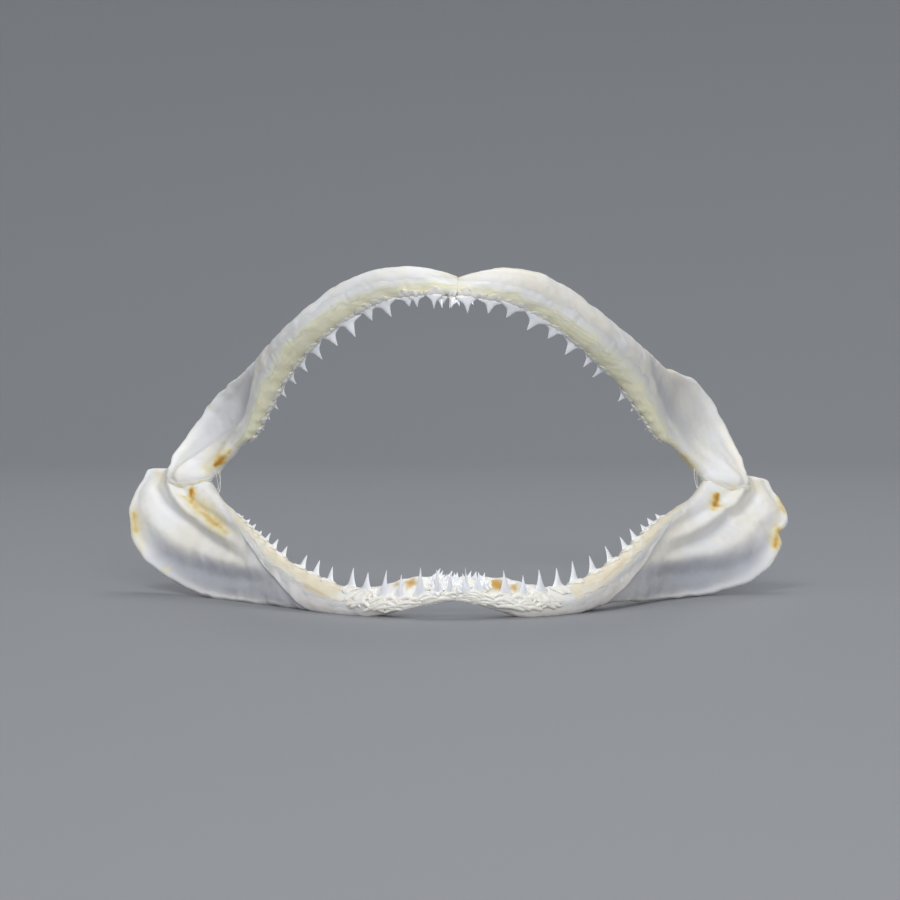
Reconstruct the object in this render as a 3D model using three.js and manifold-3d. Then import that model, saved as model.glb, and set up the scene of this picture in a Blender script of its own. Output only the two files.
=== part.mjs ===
// The dried jaws of a small requiem shark, standing open on the lower jaw.
// Millimetres, +Z up. The mouth faces -Y, the floor is z = 0 and the midline is x = 0.
// Four cartilages (two upper, two lower), each with a band of dried gum that carries its teeth,
// and at each corner the dried capsule that ties the upper jaw to the lower.
import * as THREE from "three";
import { mergeVertices } from "three/addons/utils/BufferGeometryUtils.js";
import Module from "manifold-3d";

const wasm = await Module();
wasm.setup();

// ---- driving dimensions -------------------------------------------------------------------

const GAP = 0.3; // air between neighbouring pieces
const BIG = 400; // side of the blocks that trim at the midline and the floor
const SET_BACK = 3.8; // brings the middle of the jaws' length over the origin

// A cartilage is a plate lofted through stations from the symphysis (the midline) to the joint.
// tooth: the toothed margin. far: the free margin opposite. half: half the thickness at the toothed
// margin, the middle and the free margin. bow: how far the middle stands out of the straight line.
// Places are for the half on the -X side; the other half mirrors x.
// relief: ridges (or hollows) on the outer face, each along a line from one [station, share of the
// width] to another; bend above 1 makes the line leave its start more slowly.
// moves: a margin moved near a station; twin ones belong to the +X half only, where the two halves
// of this animal differ.
const UPPER = {
  outward: -1, // turns the section's normal so that it faces out of the mouth
  stations: [
    { tooth: [1.5, -36.5, 89.9], far: [1.5, -33.5, 91.6], half: [1.8, 2.3, 1.5], bow: 0.4 },
    { tooth: [-9, -35.5, 89.9], far: [-9, -31.5, 95.8], half: [2.1, 3.2, 2.3], bow: 1.6 },
    { tooth: [-19, -31.5, 88.9], far: [-20.3, -27.5, 96.1], half: [2.1, 3.4, 2.5], bow: 2.2 },
    { tooth: [-30, -23, 84.6], far: [-31.2, -19, 92], half: [2.1, 3.4, 2.5], bow: 2.5 },
    { tooth: [-41, -11.5, 77.1], far: [-43.6, -7.5, 84.8], half: [2.2, 3.3, 2.3], bow: 2.4 },
    { tooth: [-50.2, 2.5, 67.4], far: [-54, 7.5, 76.6], half: [2.2, 3.0, 1.8], bow: 1.7 },
    { tooth: [-56.8, 14, 57.4], far: [-63, 23, 68.6], half: [2.2, 2.5, 1.4], bow: 0.6 },
    { tooth: [-61.7, 23, 49.3], far: [-71.5, 37, 62.3], half: [2.2, 1.9, 1.1], bow: -1.0 },
    { tooth: [-66.8, 30, 44.6], far: [-80, 45, 52.4], half: [2.3, 2.0, 1.2], bow: -1.6 },
    { tooth: [-71.6, 35, 39.2], far: [-87, 46, 42.2], half: [3.0, 3.0, 1.8], bow: -0.4 },
    { tooth: [-75.6, 38, 34.6], far: [-90.3, 41.5, 33.2], half: [3.3, 3.8, 2.8], bow: 0.6 },
  ],
  relief: [
    { from: [5.6, 0.34], to: [9.8, 0.56], width: 0.12, height: 1.4, bend: 1.4 }, // crest to the joint
    { from: [6.2, 0.72], to: [9.2, 0.8], width: 0.16, height: -0.9, bend: 1 }, // muscle hollow
  ],
  moves: [
    { on: "far", at: 2.7, spread: 0.42, by: [0, 2.4, 0.1] }, // knob on the upper margin
    { on: "tooth", at: 3.8, spread: 2.6, by: [-2.6, 0, -3.4], twin: true },
    { on: "far", at: 4.1, spread: 1.5, by: [-0.3, 0, -1.6], twin: true },
    { on: "far", at: 7.3, spread: 1.1, by: [2.2, 0, 2.4], twin: true },
    { on: "far", at: 10, spread: 0.9, by: [0.8, 0, -2.2], twin: true },
  ],
};
const LOWER = {
  outward: 1,
  stations: [
    { tooth: [1.8, -54.5, 9.8], far: [1.8, -51.5, 6.9], half: [2.2, 2.4, 1.9], bow: 0.2 },
    { tooth: [-9, -54.2, 8.8], far: [-9, -51.5, 5], half: [2.4, 2.8, 2.0], bow: 0.5 },
    { tooth: [-20, -50.5, 7.0], far: [-21, -46.5, 0.5], half: [2.5, 3.3, 2.2], bow: 1.0 },
    { tooth: [-31.5, -41, 6.8], far: [-33.5, -37, -0.9], half: [2.5, 3.4, 2.2], bow: 1.2 },
    { tooth: [-42.3, -27, 9.7], far: [-47, -22.5, -0.2], half: [2.5, 2.8, 1.6], bow: 0.8 },
    { tooth: [-52, -12, 14.1], far: [-61.5, -3, -0.2], half: [2.5, 2.2, 1.2], bow: 0 },
    { tooth: [-59.3, 2, 19.2], far: [-75.5, 15, 0.2], half: [2.5, 1.8, 1.1], bow: -1.0 },
    { tooth: [-65, 14, 23.1], far: [-89, 32, 5], half: [2.6, 1.8, 1.1], bow: -1.7 },
    { tooth: [-69.2, 24, 26.5], far: [-99, 43, 12.4], half: [2.6, 2.0, 1.1], bow: -1.7 },
    { tooth: [-72.6, 32, 29.8], far: [-102.3, 48, 23], half: [2.8, 2.6, 1.2], bow: -0.8 },
    { tooth: [-75.6, 39.5, 34], far: [-96.5, 49.5, 35.6], half: [3.4, 3.8, 2.2], bow: 0.4 },
  ],
  relief: [
    { from: [5.6, 0.28], to: [10, 0.66], width: 0.085, height: 1.8, bend: 2 }, // ridge to the joint
    { from: [6.2, 0.14], to: [9.6, 0.3], width: 0.06, height: -1.0, bend: 1.5 }, // groove inside it
    { from: [5.8, 0.44], to: [10, 0.84], width: 0.08, height: -1.1, bend: 2 }, // valley outside it
  ],
  moves: [
    { on: "tooth", at: 5.8, spread: 2.4, by: [-1.8, 0, 2.2], twin: true },
    { on: "far", at: 0.8, spread: 0.5, by: [0, 0, -1.7], twin: true },
    { on: "far", at: 1.5, spread: 0.7, by: [0, 0, -2.0], twin: true },
    { on: "far", at: 3.7, spread: 0.8, by: [-1.5, 0, 1.6], twin: true },
    { on: "far", at: 5.3, spread: 1.3, by: [0, 8, 0.4], twin: true },
    { on: "far", at: 7.2, spread: 0.9, by: [2.0, 0, -1.2], twin: true },
    { on: "far", at: 10, spread: 0.8, by: [0.6, 0, -3.6], twin: true },
  ],
};

// The dried gum of one half, over a number of the cartilage's sections: its wall on the outer and
// the inner face, the extra at the margin where the teeth stand, how far it covers the inner face
// and the outer one (at the midline, at its widest and at the corner), and the roll that stands up
// behind the teeth.
const UPPER_GUM = {
  sections: 15, wall: [0.8, 0.6], crest: 0.2, inner: 4.6, outer: [1.6, 6.0, 3.2], widest: 0.85,
  roll: { at: 2, spread: 2, height: 0 },
};
const LOWER_GUM = {
  sections: 16, wall: [0.9, 1.0], crest: 0.3, inner: 7, outer: [4.2, 4.2, 2.4], widest: 0.5,
  roll: { at: 1.6, spread: 1.3, height: 2.6 },
};

// Teeth. first: from the midline to the first tooth. pitch and height: at the midline, at their
// greatest and at the corner of the mouth. cusp: half widths up the crown on the side of the
// midline and on the side of the corner, as [share of the height, share, share of half the pitch].
// lean: how far the tip leans to the corner, as a share of the height, and seat: how far down the
// outer face the crown starts, each at the midline and at the corner. rake: how much of the
// cartilage's forward slant the crown keeps. thick: its depth at the base.
const UPPER_TEETH = {
  count: 15, first: 3.2, pitch: [5.2, 8.0, 4.4], height: [5.0, 6.4, 2.6], peak: 0.3,
  cusp: [[-0.1, 1.0, 1.0], [0.14, 0.8, 0.62], [0.45, 0.46, 0.16], [1, 0.06, 0.06]],
  lean: [0, 0.2], seat: [0, 0], rake: 0.5, thick: 1.7,
};
const LOWER_TEETH = {
  count: 17, first: 2.6, pitch: [4.8, 7.0, 4.6], height: [6.6, 8.2, 3.0], peak: 0.25,
  cusp: [[-0.06, 0.8, 0.8], [0.3, 0.42, 0.38], [0.6, 0.22, 0.16], [1, 0.06, 0.06]],
  lean: [0, 0.16], seat: [2.0, 0.2], rake: 0.25, thick: 1.6,
};
const UPPER_LEFT_LOST = [8]; // a tooth that has fallen out, counted from the midline

// The capsule of dried ligament round the joint: how far it stands off the cartilage, how far it
// reaches up and down from the seam, and how far past the seam towards the corner of the mouth.
const CAPSULE = { stand: 1.2, reach: 3.4, past: 2.0 };

// How fine the solids are.
const AROUND = 14; // points round a cartilage's section
const SECTIONS = 19; // sections along a cartilage

// ---- small helpers ------------------------------------------------------------------------

const v3 = (p) => new THREE.Vector3(...p);
const { lerp, clamp, smoothstep } = THREE.MathUtils;
const midpoint = (ring) => ring.reduce((sum, p) => sum.add(p), v3([0, 0, 0])).divideScalar(ring.length);
const hump = (s, at, spread) => Math.exp(-(((s - at) / spread) ** 2));

// A closed mesh from rings of points, each ring joined to the next and both ends fanned shut.
function skinRings(rings) {
  const n = rings[0].length;
  const points = rings.flat();
  const index = [];
  for (let i = 0; i + 1 < rings.length; i++)
    for (let j = 0; j < n; j++) {
      const a = i * n + j;
      const b = i * n + ((j + 1) % n);
      index.push(a, b, a + n, b, b + n, a + n);
    }
  const startHub = points.push(midpoint(rings[0])) - 1;
  const endHub = points.push(midpoint(rings.at(-1))) - 1;
  const last = (rings.length - 1) * n;
  for (let j = 0; j < n; j++) {
    const k = (j + 1) % n;
    index.push(k, j, startHub, last + j, last + k, endHub);
  }
  const geometry = new THREE.BufferGeometry().setFromPoints(points);
  geometry.setIndex(index);
  return geometry;
}

// A three.js geometry as a manifold-3d solid with its faces pointing out.
function solid(geometry) {
  const bare = new THREE.BufferGeometry().setAttribute("position", geometry.getAttribute("position"));
  bare.setIndex(geometry.index);
  const merged = mergeVertices(bare, 1e-4);
  const vertProperties = merged.attributes.position.array;
  const build = (triVerts) => new wasm.Manifold(new wasm.Mesh({ numProp: 3, vertProperties, triVerts }));
  const made = build(new Uint32Array(merged.index.array));
  return made.volume() > 0 ? made : build(new Uint32Array(merged.index.array).reverse());
}

// The largest body of a solid, as a three.js geometry.
function geometryOf(made) {
  const largest = made.decompose().reduce((a, b) => (b.volume() > a.volume() ? b : a));
  const mesh = largest.getMesh();
  const points = new Float32Array(mesh.numVert * 3);
  for (let i = 0; i < mesh.numVert; i++)
    points.set(mesh.vertProperties.subarray(i * mesh.numProp, i * mesh.numProp + 3), i * 3);
  const geometry = new THREE.BufferGeometry().setAttribute("position", new THREE.BufferAttribute(points, 3));
  geometry.setIndex(new THREE.BufferAttribute(mesh.triVerts, 1));
  return geometry;
}

// A big block about a centre, for trimming.
function block(centre) {
  return solid(new THREE.BoxGeometry(BIG, BIG, BIG).translate(...centre));
}

// ---- the cartilage plate ------------------------------------------------------------------

// A function that gives the section of a jaw half at a place along its stations: its two margins,
// its half thicknesses, its bow, and the unit normal that faces out of the mouth.
function sectioner(jaw, side) {
  const last = jaw.stations.length - 1;
  const curve = (pick) => {
    const line = new THREE.CatmullRomCurve3(jaw.stations.map(pick), false, "catmullrom", 0.5);
    return (s) => line.getPoint(clamp(s / last, 0, 1));
  };
  const half = curve((p) => v3(p.half));
  const bow = curve((p) => v3([p.bow, 0, 0]));
  const margins = { tooth: curve((p) => v3(p.tooth)), far: curve((p) => v3(p.far)) };
  const moves = jaw.moves.filter((m) => side > 0 || !m.twin);
  const margin = (name, s) => {
    const point = margins[name](s);
    point.x *= -side;
    for (const m of moves) if (m.on === name) point.addScaledVector(v3(m.by), hump(s, m.at, m.spread));
    return point;
  };
  const middle = (s) => margin("tooth", s).add(margin("far", s)).multiplyScalar(0.5);
  return (s) => {
    const step = 0.05;
    const along = middle(Math.min(s + step, last)).sub(middle(Math.max(s - step, 0))).normalize();
    const tooth = margin("tooth", s);
    const far = margin("far", s);
    const across = far.clone().sub(tooth);
    const width = across.length();
    across.normalize();
    const normal = along.clone().cross(across).normalize().multiplyScalar(-side * jaw.outward);
    return { tooth, far, across, width, along, normal, half: half(s), bow: bow(s).x, s };
  };
}

// Height of the ridges at station s and share v of the way across the plate.
function reliefAt(jaw, s, v) {
  let sum = 0;
  for (const r of jaw.relief) {
    const t = (s - r.from[0]) / (r.to[0] - r.from[0]);
    const line = lerp(r.from[1], r.to[1], Math.max(t, 0) ** r.bend);
    const fade = Math.exp(-16 * Math.max(0, -t, t - 1) ** 2);
    sum += r.height * fade * hump(v, line, r.width);
  }
  return sum;
}

// A point of the plate's surface, pushed out by grow. v runs from the toothed margin (0) to the
// free one (1); face is +1 outside and -1 inside. Both margins are rounded like a bullnose.
function platePoint(jaw, section, v, face, grow) {
  const { tooth, far, across, width, normal, half, bow, s } = section;
  const thick = half.x * (1 - v) * (1 - 2 * v) + half.y * 4 * v * (1 - v) + half.z * v * (2 * v - 1);
  const round = (distance, radius) => Math.sqrt(1 - (1 - Math.min(1, distance / radius)) ** 2);
  const edge = round(v * width, half.x) * round((1 - v) * width, half.z);
  const relief = face > 0 ? reliefAt(jaw, s, v) : 0;
  const out = bow * 4 * v * (1 - v) + face * edge * (thick + relief + grow);
  return tooth.clone().lerp(far, v).addScaledVector(across, grow * (2 * v - 1)).addScaledVector(normal, out);
}

function plateRing(jaw, section, grow) {
  return Array.from({ length: AROUND }, (_, j) => {
    const turn = (2 * Math.PI * j) / AROUND;
    return platePoint(jaw, section, (1 - Math.cos(turn)) / 2, Math.sin(turn) < 0 ? -1 : 1, grow);
  });
}

// The plate as a solid, grown all round. It starts past the midline and ends in a low dome.
function plate(jaw, side, grow = 0) {
  const section = sectioner(jaw, side);
  const last = jaw.stations.length - 1;
  const rings = Array.from({ length: SECTIONS + 1 }, (_, i) =>
    plateRing(jaw, section((last * i) / SECTIONS), grow));
  const end = section(last);
  for (const [size, shift] of [[0.86, 1.2], [0.5, 2.2]]) {
    const ring = plateRing(jaw, end, grow);
    const hub = midpoint(ring);
    rings.push(ring.map((p) => p.lerp(hub, 1 - size).addScaledVector(end.along, shift + grow)));
  }
  return solid(skinRings(rings));
}

// ---- gum and teeth ------------------------------------------------------------------------

// A point of the gum's surface, mm down the outer face (positive) or the inner one (negative).
function gumPoint(jaw, gum, here, mm) {
  const face = mm < 0 ? -1 : 1;
  const wall = lerp(gum.wall[1], gum.wall[0], smoothstep(mm, -1, 1));
  const grow = GAP + wall + gum.crest * hump(mm, 0, 2);
  const roll = gum.roll.height * hump(here.s, gum.roll.at, gum.roll.spread) * hump(mm, -1.2, 1.8);
  const v = Math.min(Math.abs(mm) / here.width, 0.75);
  return platePoint(jaw, here, v, face, grow).addScaledVector(here.across, -roll);
}

// The gum as a solid bar round the toothed margin; the cartilage is cut out of it afterwards.
function gumBar(jaw, gum, side) {
  const section = sectioner(jaw, side);
  const last = jaw.stations.length - 1;
  return solid(skinRings(Array.from({ length: gum.sections + 1 }, (_, i) => {
    const here = section((last * i) / SECTIONS);
    const t = i / gum.sections;
    const outer = sizeAlong(gum.outer, gum.widest, t);
    const inner = -gum.inner * (1 - 0.5 * smoothstep(t, 0.8, 1));
    const outside = [1, 0.6, 0.25].map((share) => gumPoint(jaw, gum, here, outer * share));
    const inside = [0.18, 0.5, 1].map((share) => gumPoint(jaw, gum, here, inner * share));
    return [...outside, gumPoint(jaw, gum, here, 0), ...inside];
  })));
}

// A size that starts at the first value by the midline, peaks, and falls to the last at the corner.
function sizeAlong([front, most, corner], peak, t) {
  if (t < peak) return lerp(front, most, smoothstep(t, 0, peak));
  return lerp(most, corner, ((t - peak) / (1 - peak)) ** 1.3);
}

// One tooth: narrowing diamond rings that rise from the gum.
function tooth({ here, pitch, size, lean, seat }, jaw, gum, teeth) {
  const up = here.across.clone().negate();
  up.setY(up.y * teeth.rake).normalize();
  const base = gumPoint(jaw, gum, here, seat).addScaledVector(here.normal, seat > 0.5 ? -0.4 : 0.4);
  return solid(skinRings(teeth.cusp.map(([h, mesial, distal]) => {
    const half = pitch / 2;
    const deep = 0.5 * Math.min(teeth.thick, 0.4 * size) * (1 - 0.72 * Math.max(h, 0));
    const centre = base.clone().addScaledVector(up, size * h).addScaledVector(here.along, lean * size * h);
    const corner = (along, out) =>
      centre.clone().addScaledVector(here.along, along).addScaledVector(here.normal, out);
    return [corner(-mesial * half, 0), corner(0, deep), corner(distal * half, 0), corner(0, -deep)];
  })));
}

// Where the teeth of one half stand, by arc length along the toothed margin.
function toothPlaces(jaw, teeth, side) {
  const section = sectioner(jaw, side);
  const last = jaw.stations.length - 1;
  const steps = 600;
  const places = [];
  let run = 0;
  let next = teeth.first;
  let previous = section(0).tooth;
  for (let i = 1; i <= steps && places.length < teeth.count; i++) {
    const here = section((last * i) / steps);
    if (here.tooth.x * side > 0) run += here.tooth.distanceTo(previous);
    previous = here.tooth;
    if (run < next) continue;
    const t = places.length / (teeth.count - 1);
    const pitch = sizeAlong(teeth.pitch, teeth.peak, t);
    const size = sizeAlong(teeth.height, teeth.peak, t);
    places.push({ here, pitch, size, lean: lerp(...teeth.lean, t), seat: lerp(...teeth.seat, t) });
    next += pitch;
  }
  return places;
}

function gumWithTeeth(jaw, gum, teeth, side, lost) {
  return toothPlaces(jaw, teeth, side)
    .filter((_, k) => !lost.includes(k))
    .reduce((made, place) => made.add(tooth(place, jaw, gum, teeth)), gumBar(jaw, gum, side));
}

// ---- the joint's capsule ------------------------------------------------------------------

// A flattened sleeve round the seam between the two jaws' ends; both cartilages are cut out of it.
function capsule(side) {
  const end = sectioner(UPPER, side)(UPPER.stations.length - 1);
  const length = end.width + CAPSULE.past;
  return solid(skinRings([0, 0.08, 0.25, 0.5, 0.75, 0.92, 1].map((share) => {
    const round = Math.sqrt(Math.max(0.04, 1 - (2 * share - 1) ** 4));
    const centre = end.tooth.clone().addScaledVector(end.across, share * length - CAPSULE.past)
      .addScaledVector(end.along, 0.6);
    const off = (end.half.y + 0.6 + CAPSULE.stand) * round;
    return Array.from({ length: 8 }, (_, j) => {
      const turn = (2 * Math.PI * j) / 8;
      return centre.clone().addScaledVector(end.normal, off * Math.cos(turn))
        .addScaledVector(end.along, CAPSULE.reach * round * Math.sin(turn));
    });
  })));
}

// ---- the whole -----------------------------------------------------------------------------

const cartilage = new THREE.MeshStandardMaterial({ color: 0xe9e6dc, roughness: 0.55, metalness: 0 });
const gumAndTeeth = new THREE.MeshStandardMaterial({ color: 0xe8e2c4, roughness: 0.45, metalness: 0 });
const ligament = new THREE.MeshStandardMaterial({ color: 0xd9c79a, roughness: 0.6, metalness: 0 });

const jaws = new THREE.Group();
function add(name, made, material) {
  const mesh = new THREE.Mesh(geometryOf(made).translate(0, SET_BACK, 0), material);
  mesh.name = name;
  jaws.add(mesh);
}

const underFloor = block([0, 0, -BIG / 2]);
for (const [side, sideName] of [[-1, "right"], [1, "left"]]) {
  const otherSide = block([-side * (BIG / 2 - GAP / 2), 0, 0]);
  const upper = plate(UPPER, side).subtract(otherSide);
  const upperGrown = plate(UPPER, side, GAP);
  const lower = plate(LOWER, side).subtract(upperGrown).subtract(otherSide).subtract(underFloor);
  const lowerGrown = plate(LOWER, side, GAP);
  add(`upper_jaw_${sideName}`, upper, cartilage);
  add(`lower_jaw_${sideName}`, lower, cartilage);
  const lost = side > 0 ? UPPER_LEFT_LOST : [];
  const upperTeeth = gumWithTeeth(UPPER, UPPER_GUM, UPPER_TEETH, side, lost).subtract(upperGrown);
  const lowerTeeth = gumWithTeeth(LOWER, LOWER_GUM, LOWER_TEETH, side, []).subtract(lowerGrown);
  add(`upper_teeth_${sideName}`, upperTeeth.subtract(otherSide), gumAndTeeth);
  add(`lower_teeth_${sideName}`, lowerTeeth.subtract(otherSide), gumAndTeeth);
  add(`joint_capsule_${sideName}`, capsule(side).subtract(upperGrown).subtract(lowerGrown), ligament);
}

export default jaws;
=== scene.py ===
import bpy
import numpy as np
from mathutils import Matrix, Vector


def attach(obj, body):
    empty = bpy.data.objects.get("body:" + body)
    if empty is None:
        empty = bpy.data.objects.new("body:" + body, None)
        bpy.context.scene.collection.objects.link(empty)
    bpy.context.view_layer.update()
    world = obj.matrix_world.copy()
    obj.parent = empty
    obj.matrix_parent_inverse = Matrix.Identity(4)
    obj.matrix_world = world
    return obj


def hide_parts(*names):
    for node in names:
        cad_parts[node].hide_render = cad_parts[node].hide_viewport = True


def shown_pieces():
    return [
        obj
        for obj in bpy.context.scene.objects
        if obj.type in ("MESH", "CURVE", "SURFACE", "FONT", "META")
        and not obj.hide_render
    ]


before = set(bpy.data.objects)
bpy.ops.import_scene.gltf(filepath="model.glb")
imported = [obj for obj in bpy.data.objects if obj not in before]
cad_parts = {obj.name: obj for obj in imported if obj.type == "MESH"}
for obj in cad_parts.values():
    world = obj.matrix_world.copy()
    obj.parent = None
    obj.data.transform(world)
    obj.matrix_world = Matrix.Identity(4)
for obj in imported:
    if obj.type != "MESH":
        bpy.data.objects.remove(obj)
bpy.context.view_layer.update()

# %% [markdown]
# # The dried jaws of a small requiem shark
# A shark's jaws are four plates of cartilage: two above, two below, hinged at the corners. The
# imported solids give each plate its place, and this script builds the finished surfaces over them.
# Everything is worked out in millimetres with numpy, as whole arrays, and turned into metres when
# it becomes a mesh.

MM = 0.001
SIDES = {"right": -1, "left": 1}  # the shark's own sides; left is +x

# %% [markdown]
# ## The stations of the four plates
# Each plate is a strip between the toothed margin and the free one, where the muscles held on.
# Eleven stations from midline to joint give both margins, the thickness at the toothed margin,
# the middle and the free margin, and how far the plate bows out. The left plate is the right one
# mirrored; the moves are where this animal isn't symmetrical.

# %% Stations of the upper and the lower jaw
SET_BACK = 3.8  # brings the middle of the jaws over the origin
UPPER = {
    "outward": -1,
    "tooth": [[1.5, -36.5, 89.9], [-9, -35.5, 89.9], [-19, -31.5, 88.9], [-30, -23, 84.6],
              [-41, -11.5, 77.1], [-50.2, 2.5, 67.4], [-56.8, 14, 57.4], [-61.7, 23, 49.3],
              [-66.8, 30, 44.6], [-71.6, 35, 39.2], [-75.6, 38, 34.6]],
    "far": [[1.5, -33.5, 91.6], [-9, -31.5, 95.8], [-20.3, -27.5, 96.1], [-31.2, -19, 92],
            [-43.6, -7.5, 84.8], [-54, 7.5, 76.6], [-63, 23, 68.6], [-71.5, 37, 62.3],
            [-80, 45, 52.4], [-87, 46, 42.2], [-90.3, 41.5, 33.2]],
    "half": [[1.8, 2.3, 1.5], [2.1, 3.2, 2.3], [2.1, 3.4, 2.5], [2.1, 3.4, 2.5],
             [2.2, 3.3, 2.3], [2.2, 3.0, 1.8], [2.2, 2.5, 1.4], [2.2, 1.9, 1.1],
             [2.3, 2.0, 1.2], [3.0, 3.0, 1.8], [3.3, 3.8, 2.8]],
    "bow": [0.4, 1.6, 2.2, 2.5, 2.4, 1.7, 0.6, -1.0, -1.6, -0.4, 0.6],
    "moves": [("far", 2.7, 0.6, (0, 1.2, 0.1), False), ("tooth", 3.8, 2.6, (-2.6, 0, -3.4), True),
              ("far", 4.1, 1.5, (-0.3, 0, -1.6), True), ("far", 7.3, 1.1, (2.2, 0, 2.4), True),
              ("far", 10, 0.9, (0.8, 0, -2.2), True)],
}
LOWER = {
    "outward": 1,
    "tooth": [[1.8, -54.5, 9.8], [-9, -54.2, 8.8], [-20, -50.5, 7.0], [-31.5, -41, 6.8],
              [-42.3, -27, 9.7], [-52, -12, 14.1], [-59.3, 2, 19.2], [-65, 14, 23.1],
              [-69.2, 24, 26.5], [-72.6, 32, 29.8], [-75.6, 39.5, 34]],
    "far": [[1.8, -51.5, 6.9], [-9, -51.5, 5], [-21, -46.5, 0.5], [-33.5, -37, -0.9],
            [-47, -22.5, -0.2], [-61.5, -3, -0.2], [-75.5, 15, 0.2], [-89, 32, 5],
            [-99, 43, 12.4], [-102.3, 48, 23], [-96.5, 49.5, 35.6]],
    "half": [[2.2, 2.4, 1.9], [2.4, 2.8, 2.0], [2.5, 3.3, 2.2], [2.5, 3.4, 2.2],
             [2.5, 2.8, 1.6], [2.5, 2.2, 1.2], [2.5, 1.8, 1.1], [2.6, 1.8, 1.1],
             [2.6, 2.0, 1.1], [2.8, 2.6, 1.2], [3.4, 3.8, 2.2]],
    "bow": [0.2, 0.5, 1.0, 1.2, 0.8, 0, -1.0, -1.7, -1.7, -0.8, 0.4],
    "moves": [("far", 0.8, 0.5, (0, 0, -1.7), True), ("far", 1.5, 0.7, (0, 0, -2.0), True),
              ("tooth", 5.8, 2.4, (-1.8, 0, 2.2), True), ("far", 3.7, 0.8, (-1.5, 0, 1.6), True),
              ("far", 5.3, 1.3, (0, 8, 0.4), True), ("far", 7.2, 0.9, (2.0, 0, -1.2), True),
              ("far", 10, 0.8, (0.6, 0, -3.6), True)],
}
LAST = 10.0  # the station at the joint
UPPER["end"], UPPER["dome"] = 9.74, 4.0  # where the rings stop and how far the rounded end goes on
LOWER["end"], LOWER["dome"] = LAST, 2.3
# each of the four plates: its jaw's name and table, its side's name and sign
QUARTERS = [(jaw_name, jaw, side_name, side) for jaw_name, jaw in (("upper", UPPER), ("lower", LOWER))
            for side_name, side in SIDES.items()]
print("stations:", len(UPPER["tooth"]), "upper,", len(LOWER["tooth"]), "lower")

# %% [markdown]
# ## Smooth lines and soft steps
# A curve through the stations has to pass every one and stay smooth: a Catmull-Rom spline does
# both. Bumps and fades are made of two small shapes, a bell that is 1 at its middle and a step
# that eases from 0 to 1.

# %% Curve through knots, bell and step
def through(knots, s):
    """Catmull-Rom line through a, b, c, d at station s, between b and c with t from 0 to 1:
    (2b + (c-a)t + (2a-5b+4c-d)t^2 + (3b-a-3c+d)t^3) / 2. It goes straight on past the ends."""
    knots = np.asarray(knots, float).reshape(len(knots), -1)
    full = np.vstack([2 * knots[0] - knots[1], knots, 2 * knots[-1] - knots[-2]])
    i = np.clip(np.floor(s).astype(int), 0, len(knots) - 2)
    t = (s - i)[:, None]
    a, b, c, d = (full[i + n] for n in range(4))
    return (2 * b + (c - a) * t + (2 * a - 5 * b + 4 * c - d) * t**2
            + (3 * b - a - 3 * c + d) * t**3) / 2


def bell(x, at=0.0, spread=1.0):
    """exp(-((x - at) / spread)^2): 1 at its middle, almost nothing two spreads away."""
    return np.exp(-(((x - at) / spread) ** 2))


def step(x, low=0.0, high=1.0):
    """0 below low, 1 above high, and 3u^2 - 2u^3 of the way u between."""
    u = np.clip((x - low) / (high - low), 0, 1)
    return u * u * (3 - 2 * u)


def unit(v):
    """v / |v|, row by row."""
    return v / np.linalg.norm(v, axis=-1, keepdims=True)


def circle(count):
    """That many angles, evenly round a full turn."""
    return np.linspace(0, 2 * np.pi, count, endpoint=False)


# %% [markdown]
# ## Natural unevenness
# Dried tissue is never even. A sum of many waves in random directions gives soft bumps of a
# chosen size, and a fixed seed gives the same surface in every run.

# %% A field of soft random bumps
def ripple(points, size, seed, waves=28):
    """Sum of cos(k.p + phase) over waves of about the given length, scaled to a spread of 1."""
    rng = np.random.default_rng(seed)
    turn = unit(rng.normal(size=(waves, 3)))
    pace = 2 * np.pi / (size * rng.uniform(0.75, 1.5, waves))
    phase = rng.uniform(0, 2 * np.pi, waves)
    total = np.zeros(points.shape[:-1])
    for k, shift in zip(turn * pace[:, None], phase):
        total += np.cos(points @ k + shift)
    return total / np.sqrt(waves / 2)


def ripple_along(run, lane, size, seed):
    """The same bumps along a line; another lane gives other bumps."""
    return ripple(np.stack([run, run * 0, run * 0 + lane], -1), size, seed)


# %% [markdown]
# ## The section of a plate
# At every station the plate needs its own directions: along the jaw, across to the free margin,
# and out of the mouth. Along is the slope of the line midway between the margins, and outward is
# square to the other two.

# %% Margins and directions
def margin(jaw, name, side, s):
    """The margin's spline at s, mirrored to its side, plus moves: by * bell((s - at) / spread)."""
    line = through(jaw[name], s)
    line[:, 0] *= -side
    for which, at, spread, by, left_only in jaw["moves"]:
        if which == name and (side > 0 or not left_only):
            line += np.array(by, float) * bell(s, at, spread)[:, None]
    return line


def sections(jaw, side, s):
    """Everything the surfaces need at stations s, as rows: margin, directions and sizes."""
    def middle(at):
        return (margin(jaw, "tooth", side, at) + margin(jaw, "far", side, at)) / 2
    along = unit(middle(np.minimum(s + 0.05, LAST)) - middle(np.maximum(s - 0.05, 0)))
    tooth = margin(jaw, "tooth", side, s)
    across = margin(jaw, "far", side, s) - tooth
    width = np.linalg.norm(across, axis=1, keepdims=True)
    across = across / width
    outward = unit(np.cross(along, across)) * -side * jaw["outward"]
    return {"jaw": jaw, "side": side, "s": s[:, None], "tooth": tooth, "across": across,
            "width": width, "along": along, "out": outward, "half": through(jaw["half"], s),
            "bow": through(jaw["bow"], s)}


check = sections(UPPER, -1, np.linspace(0, LAST, 5))
print("upper plate's width:", np.round(check["width"].ravel(), 1), "mm")

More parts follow.
